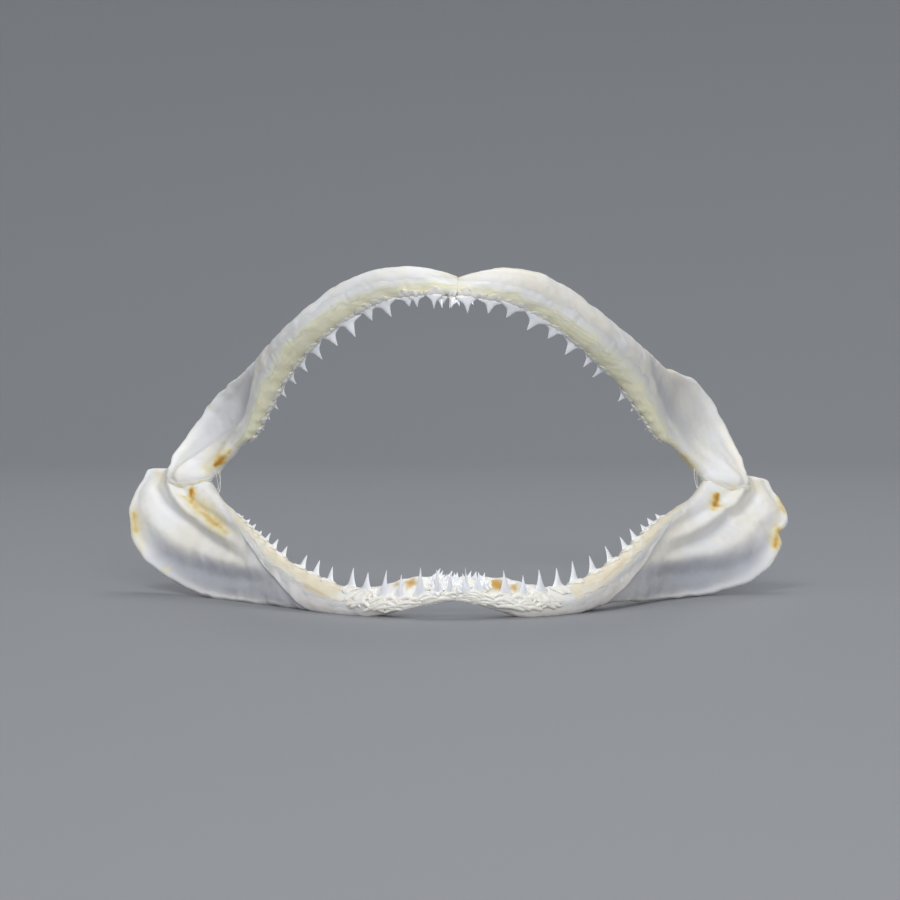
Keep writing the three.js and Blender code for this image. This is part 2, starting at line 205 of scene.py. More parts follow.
# %% [markdown]
# ## Ridges and hollows
# The plates are not flat. On the upper one a thick bar carries the teeth, a hollow behind it held
# the jaw muscle, and a crest runs to the joint. On the lower one a round ridge runs from the
# joint toward the teeth between a groove and a valley, then the plate swells, turns under and
# flares to its rim. Each follows a line of points (station, share of the width), so it is a bell
# or a step in the distance from that line.

# %% Relief of the outer faces
def path(s, *points):
    """The share of the width at which a line of (station, share) points runs, at stations s."""
    at, share = zip(*points)
    return np.interp(s, at, share)


SOONER = 0.35  # the stations by which the left upper hollow begins nearer the midline


def tooth_bar(s):
    """The share of the width at which the bar under the upper teeth ends, at stations s."""
    return path(s, (5.0, 1.05), (5.45, 0.8), (5.7, 0.5), (6.2, 0.33), (7.2, 0.2), (8.6, 0.12),
                (10, 0.05))


def upper_relief(s, v, side):
    """Hollow behind the tooth bar + crest to the joint + rolled rim + shoulder, in mm, over
    (s, v). On the left the hollow begins sooner and both are softer and lower."""
    sooner, softer, sharp = (SOONER, 0.16, 0.5) if side > 0 else (0.0, 0.0, 1.0)
    behind = step(v - tooth_bar(s + sooner), -0.03 - softer, 0.18 + softer)
    depth = path(s, (4.9, 0), (6.0, 1.1), (6.7, 1.7), (8.2, 1.5), (9.2, 0.7), (9.8, 0))
    hollow = -depth * (0.4 + 0.6 * sharp) * behind * (1 - step(v, 0.8, 0.95))
    crest_line = path(s, (6.9, 0.2), (7.6, 0.3), (8.85, 0.46), (9.5, 0.6), (10, 0.76))
    crest = sharp * path(s, (6.6, 0), (7.4, 1.3), (9.0, 1.7), (10, 0.7)) * bell(v, crest_line, 0.1)
    rim = 0.45 * step(s, 6.0, 7.0) * bell(v, 0.94, 0.05)
    shoulder = 0.5 * bell(v, 0.62, 0.2) * (1 - step(s, 4.6, 5.6))
    return hollow + crest + rim + shoulder


def lip_line(v):
    """The station at which the rounded front part of the lower plate ends, over the width."""
    return np.interp(v, (0, 0.055, 0.135, 0.33, 0.6, 0.77, 1), (7.2, 6.3, 5.35, 4.45, 3.9, 3.62, 3.3))


def lower_relief(s, v, side):
    """Ridge - groove - valley + swelling - undercut + rim + front lip, in mm, over (s, v)."""
    ridge_line = path(s, (5.9, 0.19), (7.0, 0.245), (8.0, 0.29), (9.0, 0.4), (9.6, 0.5), (10, 0.56))
    high = path(s, (5.9, 0), (6.7, 1.3), (7.6, 2.1), (9.2, 2.2), (10, 1.2))
    ridge = high * bell(v, ridge_line, 0.062)
    deep = path(s, (6.4, 0), (7.1, 0.9), (8.4, 1.2), (9.4, 0.9), (9.9, 0))
    groove = -deep * (1 if side < 0 else 0.45) * bell(v, ridge_line - 0.115, 0.05)
    valley_line = path(s, (5.8, 0.34), (6.9, 0.36), (8.2, 0.41), (9.0, 0.56), (9.6, 0.7))
    valley = -path(s, (5.4, 0), (6.6, 1.3), (9.3, 1.3), (9.9, 0.3)) * bell(v, valley_line, 0.055)
    swell_line = path(s, (5.0, 0.3), (5.8, 0.42), (7.0, 0.55), (8.0, 0.64), (9.2, 0.8))
    swell = path(s, (5.0, 0), (6.4, 1.1), (8.2, 1.5), (9.4, 0.6), (9.9, 0)) * bell(v, swell_line, 0.1)
    under = -path(s, (4.4, 0), (5.8, 0.9), (7.6, 1.2), (9.0, 0)) * bell(v, swell_line + 0.24, 0.1)
    rim = path(s, (4.5, 0), (6.0, 0.45), (9.6, 0.5)) * bell(v, 0.955, 0.035)
    past = s - lip_line(v)
    lip = 0.75 * np.exp(-np.maximum(-past, 0) / 0.9) * (1 - step(past, 0, 0.13))
    return ridge + groove + valley + swell + under + rim + lip * step(v, 0.02, 0.12)


def upper_painted_shade(s, v, side):
    """Painted shade: 1 in the upper plate's muscle hollow, strongest just behind the tooth bar,
    where the step's face lies in shade, 0 elsewhere.
    """
    s = s + (SOONER if side > 0 else 0.0)
    past = v - tooth_bar(s)
    behind = step(past, -0.04, 0.12) * (1 - 0.6 * step(past, 0.12, 0.5))
    return behind * path(s, (5.0, 0), (5.9, 0.6), (7.8, 0.5), (9.4, 0)) * (1 - step(v, 0.82, 0.95))


def lower_painted_shade(s, v, side):
    """Painted shade: 1 in the big hollow under the lower plate's swelling, where the plate turns
    down into shade, fading to the rim and to both ends.
    """
    swell_line = path(s, (4.0, 0.05), (5.0, 0.2), (5.8, 0.38), (7.0, 0.54), (8.0, 0.66), (9.2, 0.85))
    below = step(v - swell_line, -0.08, 0.22) * (1 - 0.55 * step(v, 0.8, 0.98))
    behind = step(s - lip_line(v), -0.02, 0.12)
    strong = path(s, (3.3, 0.45), (4.4, 0.7), (6.4, 1), (7.6, 0.8), (8.8, 0.1), (9.4, 0))
    return behind * below * strong


# Each plate's painted shade goes with its relief.
UPPER["relief"], UPPER["thin"] = upper_relief, upper_painted_shade
LOWER["relief"], LOWER["thin"] = lower_relief, lower_painted_shade
check = lower_relief(np.linspace(0, LAST, 200)[:, None], np.linspace(0, 1, 80), -1)
print("lower relief from", round(check.min(), 1), "to", round(check.max(), 1), "mm")

# %% [markdown]
# ## Nicks in the free margin
# The free margins dried unevenly: a small knob on each upper plate, a bite out of the left lower
# one, and a fine waviness. Each is a place on the margin with a depth; a negative one stands out.

# %% Nicks
NICKS = {
    ("upper", -1): [(3.15, 0.1, -0.5), (6.9, 0.12, 0.35), (7.6, 0.1, -0.3)],
    ("upper", 1): [(2.2, 0.16, -0.3), (5.95, 0.1, 0.4), (7.9, 0.14, 0.3)],
    ("lower", -1): [(5.9, 0.1, 0.35), (8.75, 0.25, 0.5), (9.55, 0.2, -0.3)],
    ("lower", 1): [(5.5, 0.14, 0.5), (6.3, 0.12, 0.45), (8.45, 0.16, 2.2), (8.85, 0.12, -0.7)],
}


def margin_bite(jaw_name, side, s):
    """Depth cut from the free margin: sum of depth * bell((s - at) / spread), plus a fine wave."""
    bite = sum(depth * bell(s, at, spread) for at, spread, depth in NICKS[jaw_name, side])
    return bite + 0.1 * ripple_along(s * 9, side, 3.2, seed=4) * step(s, 1.0, 3.0)


# %% [markdown]
# ## A point of the plate's surface
# Both faces and both rounded margins come from one formula, so the surface closes on itself
# without a seam. The grow value pushes the skin outward, which later lays the gum over the
# cartilage at an even thickness.

# %% The plate's formula
def rounded(distance, radius):
    """Height of a bullnose edge: sqrt(1 - (1 - d/r)^2), and 1 further in than the radius."""
    return np.sqrt(1 - (1 - np.clip(distance / radius, 0, 1)) ** 2)


def plate_point(here, v, face, grow, bite=0.0):
    """Line from the toothed margin to the free one at share v, plus
    out * (4 bow v (1-v) + face * edge * (thickness(v) + relief + grow)) + across * grow (2v-1)."""
    first, middle, last = (here["half"][:, n:n + 1] for n in range(3))
    thick = first * (1 - v) * (1 - 2 * v) + middle * 4 * v * (1 - v) + last * v * (2 * v - 1)
    edge = rounded(v * here["width"], first) * rounded((1 - v) * here["width"], last)
    raised = np.where(face > 0, here["jaw"]["relief"](here["s"], v, here["side"]), 0)
    out = here["bow"] * 4 * v * (1 - v) + face * edge * (thick + raised + grow)
    across = v * (here["width"] - bite) + grow * (2 * v - 1)
    point = (here["tooth"][:, None] + here["across"][:, None] * across[..., None]
             + here["out"][:, None] * out[..., None])
    return point + np.array([0, SET_BACK, 0])


# %% [markdown]
# ## From rings of points to a closed mesh
# Every piece is a skin over rings of points: four-sided faces join each ring to the next, and a
# fan closes each end. If the volume inside comes out negative, the faces look inward, and the
# order of their corners is turned round.

# %% Skins
def ring_faces(rows, cols):
    """Quads between neighbouring rings, and two fans to the hubs at rows*cols and rows*cols + 1."""
    j = np.arange(cols)
    k = (j + 1) % cols
    start = np.arange(rows - 1)[:, None] * cols
    quads = np.stack([start + j, start + k, start + cols + k, start + cols + j], -1)
    first = np.stack([k, j, np.full(cols, rows * cols)], -1)
    last_start = (rows - 1) * cols
    final = np.stack([last_start + j, last_start + k, np.full(cols, rows * cols + 1)], -1)
    return quads.reshape(-1, 4), np.vstack([first, final])


def skin(rings):
    """(points, quads, triangles) of shells given as (shell, ring, point, xyz), faces outward.
    Six times the volume of the first shell is the sum of a . (b x c) over its triangles."""
    shells, rows, cols, _ = rings.shape
    hubs = rings[:, [0, -1]].mean(axis=2)
    points = np.concatenate([rings.reshape(shells, -1, 3), hubs], axis=1)
    quads, fans = ring_faces(rows, cols)
    a, b, c = points[0][np.vstack([quads[:, [0, 1, 2]], quads[:, [0, 2, 3]], fans])].swapaxes(0, 1)
    if (a * np.cross(b, c)).sum() < 0:
        quads, fans = quads[:, ::-1], fans[:, ::-1]
    offset = (np.arange(shells) * points.shape[1])[:, None, None]
    return points.reshape(-1, 3), (quads + offset).reshape(-1, 4), (fans + offset).reshape(-1, 3)


def add_object(name, data):
    """An object of that mesh, lamp or camera, in the scene."""
    made = bpy.data.objects.new(name, data)
    bpy.context.scene.collection.objects.link(made)
    return made


def make_piece(name, parts, values=None):
    """One object from several skins. Values are numbers per ring point that its finish reads:
    a list with one array per skin, and a hub gets the mean of its ring."""
    points, quads, fans, start = [], [], [], 0
    for rings in parts:
        p, q, f = skin(rings)
        points.append(p)
        quads.append(q + start)
        fans.append(f + start)
        start += len(p)
    mesh = bpy.data.meshes.new(name)
    faces = np.vstack(quads).tolist() + np.vstack(fans).tolist()
    mesh.from_pydata(np.vstack(points) * MM, [], faces)
    mesh.shade_smooth()
    for label, rows in (values or {}).items():
        flat = np.concatenate([np.concatenate([r.reshape(len(r), -1), r[:, [0, -1]].mean(axis=2)],
                                              axis=1).ravel() for r in rows])
        stored = mesh.attributes.new(label, "FLOAT", "POINT")
        stored.data.foreach_set("value", flat.astype(np.float32))
    triangles = 2 * sum(len(q) for q in quads) + sum(len(f) for f in fans)
    print(f"{name}: {len(mesh.vertices)} points, {triangles} triangles")
    return add_object(name, mesh)


# %% [markdown]
# ## Where the preparation stained
# Fat and blood left amber and brown stains at the corners of the mouth, in the groove of the
# lower plate and along its rim. A stain is a streak between two points that fades with distance,
# broken up by the random bumps. Its strength is stored on the mesh, where the finish reads it.

# %% Streaks of stain
AMBER = [  # x, y, z of both ends, radius, strength
    (-69, 34.4, 44, -70.9, 36, 42.2, 1, 0.75), (-71.2, 36.3, 42, -73.9, 38, 39.2, 2.3, 1.2),
    (-75.4, 39, 38, -77.9, 39.5, 38.2, 2, 0.45), (-81.8, 39.7, 31.2, -81.5, 38.5, 27.8, 2.2, 1.1),
    (-80.6, 37.8, 27.2, -74.4, 28, 22.8, 2.3, 0.7), (-77, 32.2, 24.3, -70.6, 20.4, 20.3, 2.5, 0.78),
    (-72.6, 24, 21.4, -69, 17, 19.3, 1.8, 0.6), (-100.4, 49.1, 23.4, -99.6, 48, 18.2, 2.4, 0.75),
    (-76.1, 43.9, 58, -77, 44.6, 56.2, 0.9, 0.45), (67.2, 34.6, 43.4, 72.4, 39.5, 37.8, 1.4, 0.85),
    (80.3, 38, 30.2, 78, 34.4, 25, 2.2, 1.05), (99.9, 50.4, 29, 102, 49.9, 23.9, 2, 0.6),
    (99.9, 47.8, 18.8, 98.6, 46, 13.6, 2.9, 0.85), (63.4, 24.5, 68.8, 66, 28.6, 67, 0.9, 0.6),
]
YELLOW = [
    (-71, 35.5, 44, -76.5, 39.5, 38, 5, 0.6), (-82.5, 39.6, 30.5, -69, 16.5, 19.2, 2.8, 1.05),
    (-100.5, 48.5, 24, -97.5, 44.5, 12.5, 4, 0.5), (-89.6, 35.8, 7.2, -88.6, 34.8, 6.6, 2.4, 0.75),
    (-93, 48.5, 36, -88.5, 46, 33, 3.2, 0.65), (64.5, 21, 27.5, 75.5, 41, 34.5, 3, 0.6),
    (79.5, 35.5, 29.5, 77, 32, 24.5, 3.6, 0.35), (99.5, 49.5, 28, 99, 46, 12, 3.6, 0.45),
    (83, 42, 30.5, 95, 48, 33, 3, 0.5), (69, 36.5, 43, 74, 40, 37, 3, 0.5),
    (-0.5, -32, 91, 0.5, -32, 92.5, 6, 0.8), (-12, -50, 5, 12, -50, 5, 3, 0.3),
]


def streaks(points, streak_list, seed):
    """Largest over the streaks of strength * exp(-(distance / r)^1.2), broken up, where r tapers
    along the streak as radius (0.55 + 0.5 sin(pi t))."""
    warp = 1 + 0.14 * ripple(points, 3.4, seed) + 0.08 * ripple(points, 1.3, seed + 1)
    strongest = np.zeros(points.shape[:-1])
    for *ends, radius, strength in streak_list:
        a, way = np.array(ends[:3]), np.subtract(ends[3:], ends[:3])
        t = np.clip(((points - a) @ way) / (way @ way), 0, 1)
        apart = np.linalg.norm(points - a - t[..., None] * way, axis=-1)
        far = apart * np.clip(warp, 0.55, 1.6) / (radius * (0.55 + 0.5 * np.sin(np.pi * t)))
        strongest = np.maximum(strongest, strength * np.exp(-(far ** 1.2)))
    return strongest


# %% [markdown]
# ## The four cartilages
# A ring runs over the outer face from the toothed margin to the free one and back inside. The
# rings start where the two halves meet and end at the joint in a low dome. A faint unevenness
# keeps the light from running along the skin too smoothly.

# %% Rings of a cartilage
START = 0.16  # the station at which the halves meet
RINGS, AROUND, DOME = 330, 180, 9  # rings of a plate, points of a ring, rings of its rounded end
PLATE_GAP, GUM_GAP = 0.02, -0.06  # from the midline to each half, in mm; the gums run into each other


def meet_at_midline(rings, side, gap):
    """Slides the first rings along x so that the very first lies in the plane x = side * gap."""
    slide = (rings[0, :, 0] - side * gap) * (1 - step(np.arange(len(rings)), 0, 14))[:, None]
    return rings - np.array([1, 0, 0]) * slide[..., None]


def dome(ring, along, height):
    """Rings that close an end: scaled by cos(u) to the middle and shifted by height sin(u)."""
    u = np.linspace(0, 0.49 * np.pi, DOME + 1)[1:, None, None]
    middle = ring.mean(axis=0)
    return middle + (ring - middle) * np.cos(u) + along * height * np.sin(u)


def cartilage(jaw_name, jaw, side):
    """Closed rings of one plate, and by label the values its finish reads. What would dip under
    the floor is pressed up to it."""
    s = np.linspace(START, jaw["end"], RINGS)
    here = sections(jaw, side, s)
    turn = circle(AROUND)
    v = ((1 - np.cos(turn)) / 2)[None]
    face = np.where(np.sin(turn) < 0, -1.0, 1.0)[None]
    bite = margin_bite(jaw_name, side, s)[:, None]
    bare = plate_point(here, v, face, 0, bite)
    uneven = 0.10 * ripple(bare, 9, seed=11) + 0.035 * ripple(bare, 2.6, seed=12)
    rings = plate_point(here, v, face, uneven * (1 - bell(here["s"], 0, 0.6)), bite)
    rings = meet_at_midline(rings, side, PLATE_GAP)
    rings = np.concatenate([rings, dome(rings[-1], here["along"][-1], jaw["dome"])])
    rings[..., 2] = np.maximum(rings[..., 2], 0.02 * rings[..., 2])
    # Painted shade: the lower plate's front band, which faces down, is painted warm grey, faintly on
    # the inner face too.
    front_shade_mask = (1 - step(here["s"] - lip_line(v), -0.05, 0.12)) * (jaw is LOWER)
    # Painted shade: relief below zero darkens the hollows in the finish, and the inner face's -0.3
    # paints it faintly darker.
    values = {"relief": np.where(face > 0, jaw["relief"](here["s"], v, side), -0.3),
              # Painted shade: the hollow under the lower swelling and the step behind the upper tooth
              # bar, at 0.6 on the inner face.
              "thin": np.where(face > 0, 1.0, 0.6) * jaw["thin"](here["s"], v, side),
              "front": front_shade_mask * np.where(face > 0, 1.0, 0.3)}
    values = {label: np.concatenate([x, x[-1:].repeat(DOME, axis=0)]) for label, x in values.items()}
    values["amber"], values["yellow"] = streaks(rings, AMBER, 29), streaks(rings, YELLOW, 25)
    return rings[None], {label: [x[None]] for label, x in values.items()}


for jaw_name, jaw, side_name, side in QUARTERS:
    rings, values = cartilage(jaw_name, jaw, side)
    made = make_piece(f"{jaw_name}_cartilage_{side_name}", [rings], values)
    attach(made, "root")
    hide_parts(f"{jaw_name}_jaw_{side_name}")

# %% [markdown]
# ## Where each tooth stands
# Distances run along the toothed margin from the midline, in millimetres, with one list for each
# quarter of the mouth, because real rows aren't even: here two teeth crowd together, there one
# has fallen out. The second list is how far each crown stands clear of the gum.

# %% Tooth rows
ROWS = {
    ("upper", -1): ([6.7, 12.1, 14.9, 22.9, 29.7, 38.1, 47.5, 56.3, 65.5, 73.3, 80.7, 87.5, 93.5,
                     98.9, 103.7],
                    [4.2, 3.6, 3.4, 5.3, 4.3, 6.2, 5.2, 5.3, 4.3, 3.6, 3.1, 2.5, 1.7, 1.5, 1.2]),
    ("upper", 1): ([2.9, 10.1, 17.5, 26.5, 34.9, 44.5, 54.1, 61.1, 76.9, 84.1, 89.5, 94.9, 100.5],
                   [4.8, 4.4, 4.7, 5.5, 4.4, 5.3, 4.6, 4.8, 3.6, 2.2, 1.8, 1.6, 1.5]),
    ("lower", -1): ([2.5, 5.7, 10.3, 15.7, 20.1, 26.7, 33.7, 44.7, 52.5, 60.1, 72.1, 79.0, 84.7,
                     90.4, 96.2, 101.4, 106.2],
                    [6.8, 7.4, 8.4, 7.0, 8.0, 5.8, 6.2, 5.0, 5.3, 4.9, 3.8, 3.8, 3.4, 2.0, 2.4, 2.2,
                     1.5]),
    ("lower", 1): ([3.3, 5.9, 12.7, 17.5, 23.1, 31.1, 39.7, 50.3, 60.9, 71.1, 78.3, 86.0, 91.6, 97.9],
                   [7.3, 5.6, 7.0, 6.1, 7.0, 5.9, 6.8, 5.7, 5.5, 4.8, 4.4, 2.8, 2.9, 2.6]),
}


def margin_run(jaw, side):
    """Stations and the distance run along the toothed margin since it crossed the midline."""
    s = np.linspace(0, LAST, 1201)
    line = margin(jaw, "tooth", side, s)
    length = np.linalg.norm(np.diff(line, axis=0), axis=1) * (line[1:, 0] * side > 0)
    return s, np.concatenate([[0], np.cumsum(length)])


print("teeth:", {f"{k[0]} {k[1]:+d}": len(v[0]) for k, v in ROWS.items()})

# %% [markdown]
# ## The band of dried gum
# The gum wraps the toothed margin like a folded ribbon, down the outer face and down the inner
# one, where it covers the teeth that wait their turn. It is the plate's own surface pushed
# outward: thin at its borders, swollen round every tooth, and dried into long wrinkles. Its
# hidden side lies just inside the cartilage.

# %% The gum's sizes
UPPER["gum"] = {"end": 7.9, "wall": 0.75, "inside": 0.4, "seat": (-1.3, -1.8), "inner": 5.8,
                "outer": (3.6, 7.8, 4.2), "widest": 0.8, "roll": (2.0, 2.0, 0.0)}
LOWER["gum"] = {"end": 8.42, "wall": 0.6, "inside": 0.6, "seat": (2.3, -1.7), "inner": 8.0,
                "outer": (6.8, 6.2, 1.8), "widest": 0.4, "roll": (1.45, 0.85, 2.5)}
COLLAR = 0.25  # how far the gum swells round each tooth


def seat_at(jaw, run):
    """The arc at which crowns stand: the first number in front, the second from 42 mm on."""
    front, rear = jaw["gum"]["seat"]
    return front + (rear - front) * step(run, 14, 42)


def size_along(sizes, peak, t):
    """From the first size to the greatest at the peak, then on to the last as
    ((t - peak) / (1 - peak))^1.3."""
    front, most, corner = sizes
    rise = front + (most - front) * step(t, 0, peak)
    fall = most + (corner - most) * np.clip((t - peak) / (1 - peak), 0, 1) ** 1.3
    return np.where(t < peak, rise, fall)


def over_edge(arc, radius):
    """How far across the plate an arc over its round edge reaches: r (1 - cos(arc / r)) for a
    quarter turn, and straight on after that."""
    turn = np.minimum(np.abs(arc) / radius, np.pi / 2)
    return radius * (1 - np.cos(turn)) + np.maximum(np.abs(arc) - radius * np.pi / 2, 0)


def gum_point(here, arc, grow):
    """The plate's surface an arc from its edge, outside (positive) or inside, pushed out by grow,
    with the roll behind the front teeth: height * bell(s) * bell(arc) against across."""
    at, spread, height = here["jaw"]["gum"]["roll"]
    v = 0.8 * np.tanh(over_edge(arc, here["half"][:, 0:1]) / here["width"] / 0.8)
    face = np.where(arc < 0, -1.0, 1.0)
    roll = height * bell(here["s"], at, spread) * bell(arc, -3.2, 2.0)
    return plate_point(here, v, face, grow) - here["across"][:, None] * roll[..., None]


def gum_at(here, arc, grow):
    """The same with one point per section, in the shape of arc."""
    return gum_point(here, arc.reshape(-1, 1), np.reshape(grow, (-1, 1)))[:, 0].reshape(*arc.shape, 3)


# %% [markdown]
# ## The band, ring by ring
# The distance along the margin and the arc over its edge are the gum's own two coordinates, so a
# collar, a wrinkle or a frayed border is a plain formula in them. The amber spots are old fat.

# %% Rings of a gum band
OUTSIDE, INSIDE, HIDDEN = 46, 34, 14  # points down the outer wall, down the inner one, underneath
GUM_AMBER = [
    (-13.6, -49.7, 9.9, -12.2, -49.8, 9.2, 2.9, 0.9), (-17.6, -47.8, 9.2, -16.4, -48.1, 8.8, 2.4, 0.7),
    (9.4, -51, 10.2, 11.6, -51, 8.4, 3.3, 1), (15.2, -49.8, 9, 15.8, -49.8, 8, 2.6, 0.8),
    (-20.2, -50.2, 3.4, -15.5, -51, 3.2, 1.1, 0.8), (11.7, -51.7, 3.8, 16.4, -51.2, 3, 1.2, 0.8),
    (-44.3, -27.9, 7.7, -35.3, -39.6, 4.5, 0.9, 0.5), (39.9, -31.9, 7.9, 49.7, -14.1, 14.6, 0.9, 0.5),
    (-61, 18, 53, -58, 13.5, 58.5, 1.2, 0.3), (-1, -34, 89.5, 1, -34, 90.5, 2, 0.35),
]


def fade_border(share):
    """(1 - |share|^1.7)^1.5: full by the teeth, thinning softly to nothing at the borders."""
    return (1 - np.abs(share) ** 1.7) ** 1.5


def gum_band(jaw_name, jaw, side, count=560):
    """Rings of one band, each down its outer wall, round the margin and back underneath, and
    by label the values its finish reads."""
    gum = jaw["gum"]
    s = np.linspace(START, gum["end"], count)
    here = sections(jaw, side, s)
    t = ((s - START) / (gum["end"] - START))[:, None]
    run = np.interp(s, *margin_run(jaw, side))[:, None]
    places = np.array(ROWS[jaw_name, side][0])
    turn = np.interp(run, places, np.arange(len(places)))
    beside = 0.5 + 0.5 * np.cos(2 * np.pi * turn)
    frayed = ripple_along(run, 9 * side, 5.5, seed=31)
    frayed = (frayed + 0.5 * ripple_along(run, 3 * side, 2.0, seed=32)) * step(run, 1.5, 7)
    outer = size_along(gum["outer"], gum["widest"], t) * (1 + 0.035 * frayed)
    inner = gum["inner"] * (1 - 0.5 * step(t, 0.8, 1)) * (1 + 0.05 * frayed)
    share = np.concatenate([np.linspace(1, 0, OUTSIDE), -np.linspace(0, 1, INSIDE + 1)[1:]])[None]
    arc = np.where(share > 0, share * outer, share * inner)
    past_seat = arc - seat_at(jaw, run)
    wall = gum["inside"] + (gum["wall"] - gum["inside"]) * step(past_seat, 0, 2.5)
    flat = np.stack(np.broadcast_arrays(run, arc * 2.2, arc * 0 + 20 * side), -1)
    wrinkles = np.cos(2 * np.pi * (arc / 1.3 + 0.5 * ripple(flat, 9, seed=33)))
    wrinkles = wrinkles * step(past_seat, 2.4, 3.6)
    collar = COLLAR * (beside - 0.4) * bell(past_seat, 2.4, 1.3)
    rows_behind = np.cos(2 * np.pi * (turn + 0.25 * np.cos(np.pi * arc / 2.2)))
    waiting = 0.16 * (1 + rows_behind) * step(-past_seat, 1.4, 2.4)
    fine = 0.04 * wrinkles + 0.045 * ripple(flat, 3.8, seed=34) + 0.012 * ripple(flat, 1.4, seed=35)
    detail = collar + waiting + fine * (1 - 0.6 * step(share, 0.35, 0.9))
    grow = (0.45 + wall + detail * step(here["s"], START, 0.7)) * fade_border(share) - 0.12
    grow = grow * (1 - 0.6 * bell(past_seat, -0.4, 1.5)) * (1 - 0.75 * step(t, 0.9, 1))
    top = gum_point(here, arc, grow)
    back = np.linspace(-1, 1, HIDDEN + 2)[None, 1:-1]
    below = gum_point(here, np.where(back > 0, back * outer, back * inner) * 0.97, -0.2)
    rings = meet_at_midline(np.concatenate([top, below], axis=1), side, GUM_GAP)
    deep = 1.5 + 2.1 * (jaw is LOWER) * (1 - step(run, 30, 40))
    root = 1 - step(past_seat, (0.2 + 0.6 * beside) * deep, (1.2 + 0.9 * beside) * deep)
    hidden = np.zeros((count, HIDDEN))
    down, root = (np.concatenate([x + 0 * arc, hidden], axis=1)[None] for x in (share, root))
    amber = streaks(rings, GUM_AMBER, 41)[None]
    return rings[None], {"down": [down], "root": [root], "amber": [amber]}


for jaw_name, jaw, side_name, side in QUARTERS:
    rings, values = gum_band(jaw_name, jaw, side)
    made = make_piece(f"{jaw_name}_gum_{side_name}", [rings], values)
    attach(made, "root")
    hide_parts(f"{jaw_name}_teeth_{side_name}")

# %% [markdown]
# ## The shape of a crown
# The upper crowns are blades whose broad shoulders flare into round arches at the foot; the lower
# ones are spikes that narrow at once. They differ only in waist and foot, so one formula makes
# both. Each ring is a lens with two sharp edges, flatter on the lip side.

# %% Rings of a crown, and where they go
SPIKE = ((0.2, 1.0), 0.3)  # how high and how steeply the foot of a spike flares, and its hem


def crown_rings(heights, spans, waists, leans, foot, hem, rows=34, cols=22):
    """(tooth, ring, point, (along, out, up)) in mm, and h, the share of the height. Half width at
    h, with waist m and foot (f, k): half span * ((1 - h) m + (1 - m) exp(-(h / f)^k)), with a
    fuller waist on the midline's side. Under the gum it shrinks by the share of the hem."""
    h = np.linspace(-0.14, 1, rows)[None, :, None]
    clear = np.clip(h, 0, 1)
    flare = np.exp(-((clear / foot[0]) ** foot[1]))
    waist = waists[:, None, None]
    near, away = (0.02 + 0.98 * ((1 - clear) * waist * full + (1 - waist * full) * flare)
                  for full in (1.15, 0.85))
    tuck = 1 - hem * step(-h, 0.0, 0.14)
    cos, sin = np.cos(circle(cols)), np.sin(circle(cols))
    size, half = heights[:, None, None], spans[:, None, None] / 2
    along = np.where(cos > 0, away, near) * tuck * half * cos
    thick = np.minimum(0.85, 0.2 * size) * (0.06 + 0.94 * (1 - clear) ** 0.8) * tuck
    out = thick * np.sign(sin) * np.abs(sin) ** 1.5 * np.where(sin > 0, 0.75, 1.0)
    out = out + 0.05 * size * np.sin(np.pi * clear)
    along = along + leans[:, None, None] * size * clear ** 1.2
    return np.stack(np.broadcast_arrays(along, out, size * h), -1), np.broadcast_to(h, along.shape)


def sections_at(jaw, side, run):
    """The sections at distances along the toothed margin from the midline."""
    s, run_fine = margin_run(jaw, side)
    past = run_fine > 0
    return sections(jaw, side, np.interp(run.ravel(), run_fine[past], s[past]))


def stand(jaw, side, run, rake, outward):
    """The sections, base points on the gum's crest, and the way their crowns point: against the
    across direction, with its depth scaled by the rake, and leaning outward."""
    here = sections_at(jaw, side, run)
    up = unit(outward * here["out"] - here["across"] * np.array([1, rake, 1]))
    return here, gum_at(here, seat_at(jaw, run), 0.3), up


def place(local, base, along, out, up):
    """base + along * a + out * o + up * u for every point (a, o, u) of every tooth."""
    axes = np.stack([along, out, up], axis=1)
    return base[:, None, None] + np.einsum("tijk,tkl->tijl", local, axes)


# %% [markdown]
# ## Roots
# A shark's tooth has no socket. It stands on a root with two lobes that lie on the jaw, and most
# roots show as thin scalloped plates. In the front of the lower jaw they overlap in layers and
# look braided: there each is a tube bent into an arch over the margin of the gum.

# %% Root arches and root plates
def root_rings(jaw, side, run_at, seat, grow, rng, spans, reach, radius, rows=26, cols=14):
    """Tubes on the gum: run = run_at + t span/2, arc = seat + reach t^2, radius * (1 - 0.25 t^2),
    for t from -1 to 1, with span, reach and radius drawn from their ranges."""
    spans, reach, radius = (rng.uniform(*ends, len(run_at))[:, None]
                            for ends in (spans, reach, radius))
    t = np.linspace(-1, 1, rows)[None]
    run = run_at[:, None] + t * spans / 2
    down = seat[:, None] + reach * t**2
    here = sections_at(jaw, side, run)
    line = gum_at(here, down, grow)
    ahead = unit(np.gradient(line, axis=1))
    beside = unit(np.cross(ahead, here["out"].reshape(line.shape)))[:, :, None]
    out = np.cross(beside[:, :, 0], ahead)[:, :, None]
    turn = circle(cols)[:, None]
    thick = (radius * (1 - 0.25 * t**2) * rounded(1 - np.abs(t), 0.3))[..., None, None]
    return line[:, :, None] + thick * (np.cos(turn) * beside + 0.8 * np.sin(turn) * out)


